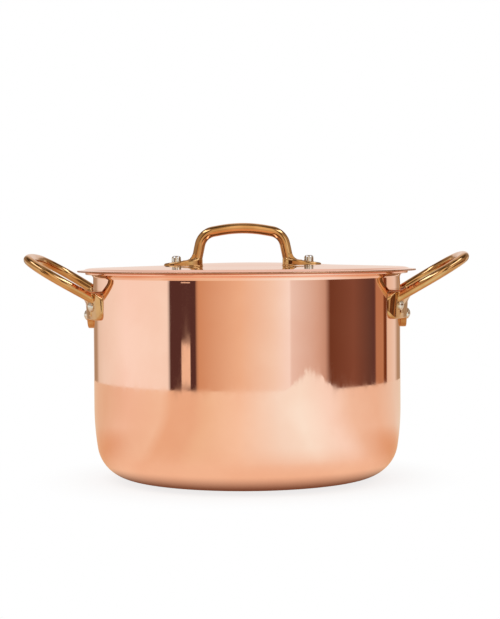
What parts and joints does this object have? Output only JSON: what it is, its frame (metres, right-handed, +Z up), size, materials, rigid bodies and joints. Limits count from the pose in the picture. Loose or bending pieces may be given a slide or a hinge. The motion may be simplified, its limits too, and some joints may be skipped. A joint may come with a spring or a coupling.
{
  "type": "jam pan",
  "caption": "Deep straight-sided copper pan with rounded base, flared lip, riveted brass loop handles and a shallow lifting lid with a brass arch handle.",
  "frame": {"origin": "centre of the flat base, on the surface that the pan stands on", "axes": "+Z up along the pan's axis; the two side handles lie along X; the front of the pan faces -Y"},
  "size_m": [0.3466, 0.2646, 0.2004],
  "materials": {
    "copper": "polished copper sheet",
    "brass": "polished cast brass",
    "tin": "wiped tin, satin",
    "rivet_steel": "polished"
  },
  "bodies": {
    "pot": {"pot_body": "copper", "pot_lining": "tin", "left_handle": "brass", "right_handle": "brass", "left_rivet_front": "rivet_steel", "left_rivet_rear": "rivet_steel", "left_rivet_lower": "rivet_steel", "right_rivet_front": "rivet_steel", "right_rivet_rear": "rivet_steel", "right_rivet_lower": "rivet_steel"},
    "lid": {"lid_shell": "copper", "lid_lining": "tin", "lid_collar": "tin", "lid_handle": "brass", "lid_rivet_left": "rivet_steel", "lid_rivet_right": "rivet_steel"}
  },
  "joints": [
    {"name": "lid_lift", "type": "slide", "parent": "pot", "child": "lid", "axis": [0, 0, 1], "range_m": [0, 0.12]}
  ]
}
